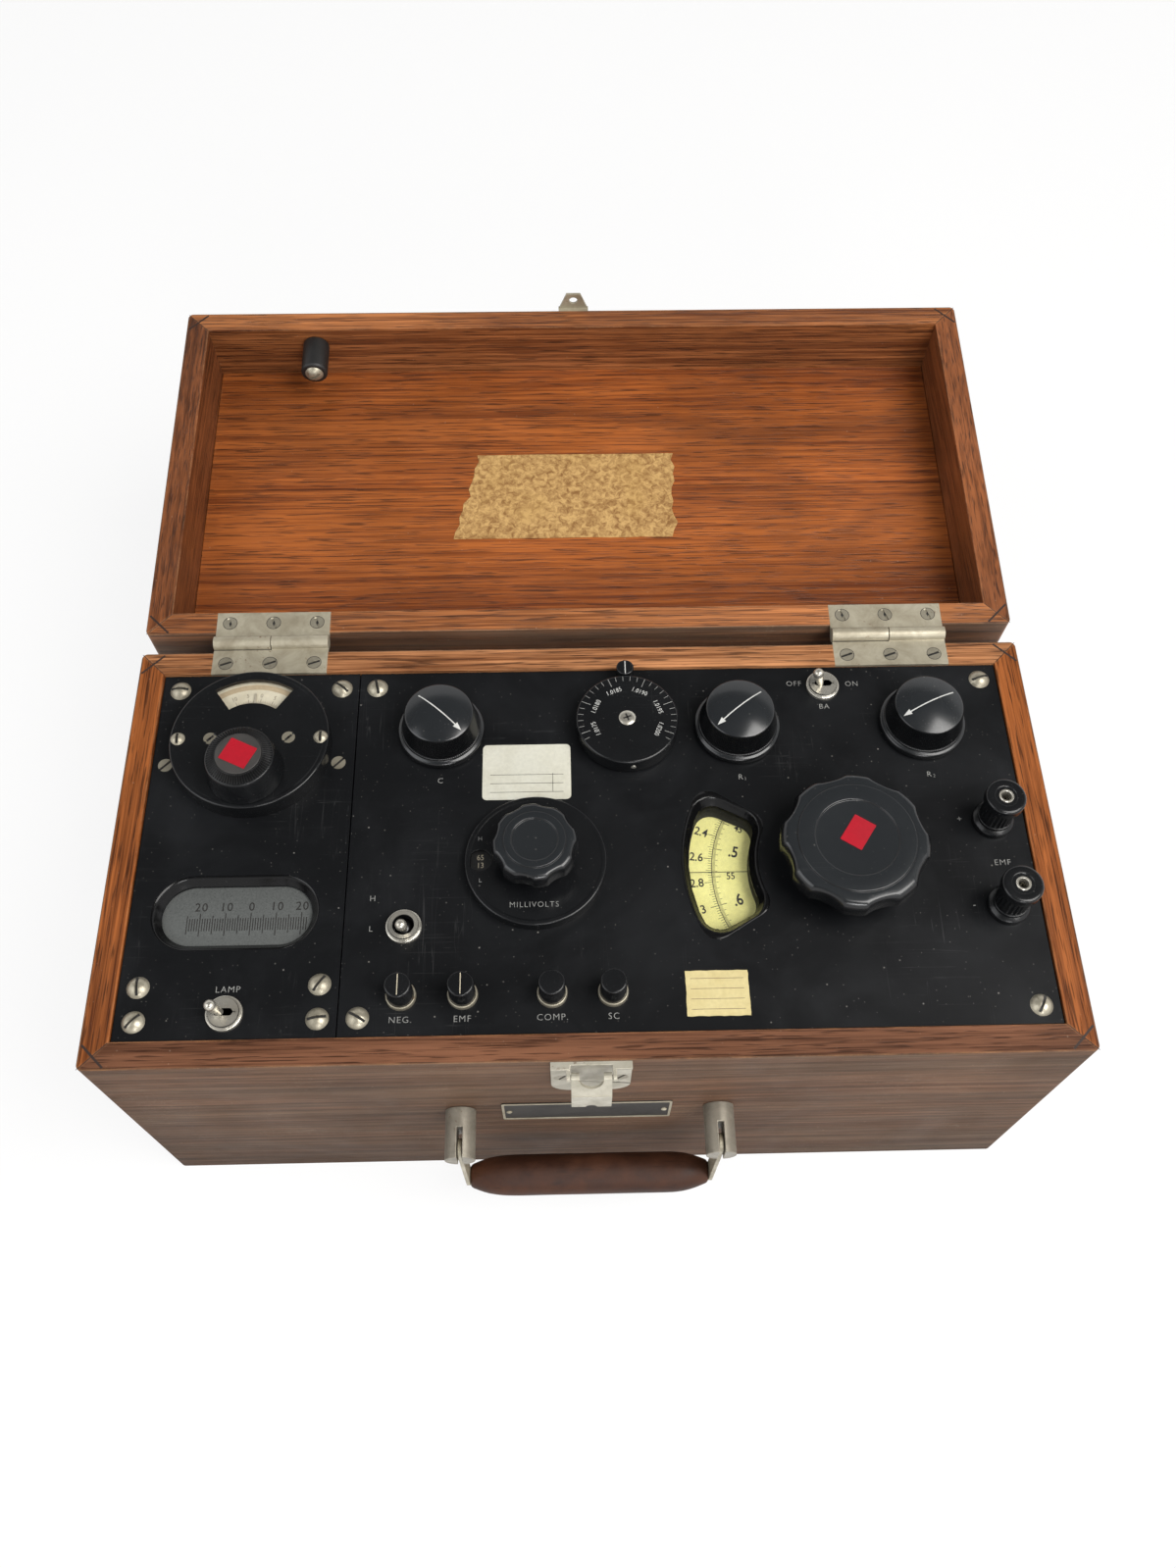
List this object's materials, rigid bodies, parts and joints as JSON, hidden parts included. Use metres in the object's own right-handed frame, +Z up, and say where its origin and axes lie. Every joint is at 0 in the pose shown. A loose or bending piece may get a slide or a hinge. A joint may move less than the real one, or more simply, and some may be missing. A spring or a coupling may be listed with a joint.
{
  "type": "millivolt potentiometer test set",
  "caption": "Wooden instrument case, lid folded back on hinges, with black panels holding a galvanometer, slidewire dial, rotary switches, toggles, keys and binding posts.",
  "frame": {"origin": "centre of the underside of the case", "axes": "+X to the right seen from the front, +Y to the back where the lid hinges, +Z up"},
  "size_m": [0.39, 0.4161, 0.179],
  "materials": {
    "case_wood": "varnished, worn red-brown hardwood",
    "inner_wood": "bare softwood",
    "panel_black": "satin black laminate, dusty",
    "knob_black": "moulded black, lightly worn",
    "nickel": "dull nickel plate",
    "scale_card": "printed card",
    "magnet_iron": "as cast",
    "coil_metal": "blackened",
    "frosted_glass": "frosted",
    "clear_glass": "clear",
    "brass": "bare",
    "switch_metal": "dull",
    "bakelite": "moulded brown",
    "number_white": "printed white",
    "dial_yellow": "printed yellow",
    "cell_wrap": "plain wrap",
    "grip_leather": "dark, worn",
    "rubber_black": "matt"
  },
  "bodies": {
    "case": {"case_front_board": "case_wood", "case_rear_board": "case_wood", "case_side_boards": "case_wood", "case_base_board": "inner_wood", "panel_blocks": "inner_wood", "galvanometer_panel": "panel_black", "main_panel": "panel_black", "case_screws": "nickel", "galvanometer_cover": "knob_black", "galvanometer_scale": "scale_card", "galvanometer_magnet": "magnet_iron", "scale_glass": "frosted_glass", "lamp_assembly": "brass", "switch_bodies": "switch_metal", "panel_nuts": "nickel", "rheostat_bodies": "bakelite", "dial_index": "knob_black", "millivolt_cover": "knob_black", "millivolt_deck": "bakelite", "slidewire_base": "bakelite", "dial_window": "clear_glass", "post_bases": "nickel", "cells": "cell_wrap", "handle_studs": "nickel", "latch_plate": "nickel", "hinge_lower_leaves": "nickel"},
    "lid": {"hinge_upper_leaves": "nickel", "lid_front_board": "case_wood", "lid_rear_board": "case_wood", "lid_side_boards": "case_wood", "lid_top_board": "case_wood", "lid_keeper": "nickel", "lid_bumper": "rubber_black", "lid_screws": "nickel"},
    "coil": {"galvanometer_coil": "coil_metal"},
    "zero": {"zero_knob": "knob_black"},
    "lamp_lever": {"lamp_toggle": "nickel"},
    "battery_lever": {"battery_toggle": "nickel"},
    "range_lever": {"range_toggle": "nickel"},
    "c_control": {"c_knob": "knob_black"},
    "r1_control": {"r1_knob": "knob_black"},
    "r2_control": {"r2_knob": "knob_black"},
    "standard_control": {"standard_dial": "knob_black"},
    "millivolt_control": {"millivolt_number_disc": "number_white", "millivolt_knob": "knob_black"},
    "slidewire_control": {"slidewire_dial": "dial_yellow", "slidewire_knob": "knob_black"},
    "neg_slider": {"neg_plunger": "brass"},
    "neg_button": {"neg_key": "knob_black"},
    "emf_slider": {"emf_plunger": "brass"},
    "emf_button": {"emf_key": "knob_black"},
    "comp_button": {"comp_key": "knob_black"},
    "sc_button": {"sc_key": "knob_black"},
    "plus_washer": {"plus_collar": "nickel"},
    "plus_nut": {"plus_cap": "knob_black"},
    "minus_washer": {"minus_collar": "nickel"},
    "minus_nut": {"minus_cap": "knob_black"},
    "handle": {"handle_tangs": "nickel", "handle_grip": "grip_leather"},
    "latch": {"latch_lever": "nickel"}
  },
  "joints": [
    {"name": "lid_hinge", "type": "hinge", "parent": "case", "child": "lid", "pos_m": [0, 0.0996, 0.1562], "axis": [-1, 0, 0], "range_deg": [-176.3, 17]},
    {"name": "coil_swing", "type": "hinge", "parent": "case", "child": "coil", "pos_m": [-0.1414, 0.0458, 0.155], "axis": [0, 0, 1], "range_deg": [-20, 20], "stiffness_Nm_per_rad": 0.002},
    {"name": "zero_turn", "type": "hinge", "parent": "case", "child": "zero", "pos_m": [-0.1414, 0.0298, 0.155], "axis": [0, 0, 1], "range_deg": [-150, 150]},
    {"name": "lamp_swing", "type": "hinge", "parent": "case", "child": "lamp_lever", "pos_m": [-0.1413, -0.0729, 0.1524], "axis": [0, 1, 0], "range_deg": [0, 28]},
    {"name": "battery_swing", "type": "hinge", "parent": "case", "child": "battery_lever", "pos_m": [0.106, 0.0731, 0.1524], "axis": [0, 1, 0], "range_deg": [0, 28]},
    {"name": "range_swing", "type": "hinge", "parent": "case", "child": "range_lever", "pos_m": [-0.0736, -0.038, 0.1524], "axis": [-1, 0, 0], "range_deg": [0, 28]},
    {"name": "c_turn", "type": "hinge", "parent": "case", "child": "c_control", "pos_m": [-0.061, 0.0525, 0.155], "axis": [0, 0, 1], "range_deg": [-150, 150]},
    {"name": "r1_turn", "type": "hinge", "parent": "case", "child": "r1_control", "pos_m": [0.0665, 0.0525, 0.155], "axis": [0, 0, 1], "range_deg": [-150, 150]},
    {"name": "r2_turn", "type": "hinge", "parent": "case", "child": "r2_control", "pos_m": [0.147, 0.053, 0.155], "axis": [0, 0, 1], "range_deg": [-150, 150]},
    {"name": "standard_turn", "type": "hinge", "parent": "case", "child": "standard_control", "pos_m": [0.0188, 0.0528, 0.155], "axis": [0, 0, 1], "range_deg": [-110, 110]},
    {"name": "millivolt_turn", "type": "hinge", "parent": "case", "child": "millivolt_control", "pos_m": [-0.0207, -0.0113, 0.155], "axis": [0, 0, 1], "range_deg": [-292.5, 45]},
    {"name": "slidewire_turn", "type": "hinge", "parent": "case", "child": "slidewire_control", "pos_m": [0.1075, -0.012, 0.155], "axis": [0, 0, 1], "range_deg": [-127, 127]},
    {"name": "neg_press", "type": "slide", "parent": "case", "child": "neg_slider", "axis": [0, 0, -1], "range_m": [0, 0.003], "stiffness_N_per_m": 300, "springref_m": -0.002},
    {"name": "neg_turn", "type": "hinge", "parent": "neg_slider", "child": "neg_button", "pos_m": [-0.0735, -0.067, 0.155], "axis": [0, 0, 1], "range_deg": [0, 90]},
    {"name": "emf_press", "type": "slide", "parent": "case", "child": "emf_slider", "axis": [0, 0, -1], "range_m": [0, 0.003], "stiffness_N_per_m": 300, "springref_m": -0.002},
    {"name": "emf_turn", "type": "hinge", "parent": "emf_slider", "child": "emf_button", "pos_m": [-0.0495, -0.067, 0.155], "axis": [0, 0, 1], "range_deg": [0, 90]},
    {"name": "comp_press", "type": "slide", "parent": "case", "child": "comp_button", "axis": [0, 0, -1], "range_m": [0, 0.003], "stiffness_N_per_m": 300, "springref_m": -0.002},
    {"name": "sc_press", "type": "slide", "parent": "case", "child": "sc_button", "axis": [0, 0, -1], "range_m": [0, 0.003], "stiffness_N_per_m": 300, "springref_m": -0.002},
    {"name": "plus_rise", "type": "slide", "parent": "case", "child": "plus_washer", "axis": [0, 0, 1], "range_m": [0, 0.003]},
    {"name": "plus_turn", "type": "hinge", "parent": "plus_washer", "child": "plus_nut", "pos_m": [0.17, 0.0052, 0.155], "axis": [0, 0, 1], "range_deg": [0, 1080]},
    {"name": "minus_rise", "type": "slide", "parent": "case", "child": "minus_washer", "axis": [0, 0, 1], "range_m": [0, 0.003]},
    {"name": "minus_turn", "type": "hinge", "parent": "minus_washer", "child": "minus_nut", "pos_m": [0.17, -0.0335, 0.155], "axis": [0, 0, 1], "range_deg": [0, 1080]},
    {"name": "handle_swing", "type": "hinge", "parent": "case", "child": "handle", "pos_m": [0, -0.1105, 0.0895], "axis": [-1, 0, 0], "range_deg": [-7, 165]},
    {"name": "latch_swing", "type": "hinge", "parent": "case", "child": "latch", "pos_m": [0, -0.1001, 0.1534], "axis": [1, 0, 0], "range_deg": [0, 22]}
  ],
  "couplings": [
    {"joint": "plus_turn", "follows": "plus_rise", "rad_per_m": 6283.2},
    {"joint": "minus_turn", "follows": "minus_rise", "rad_per_m": 6283.2}
  ]
}
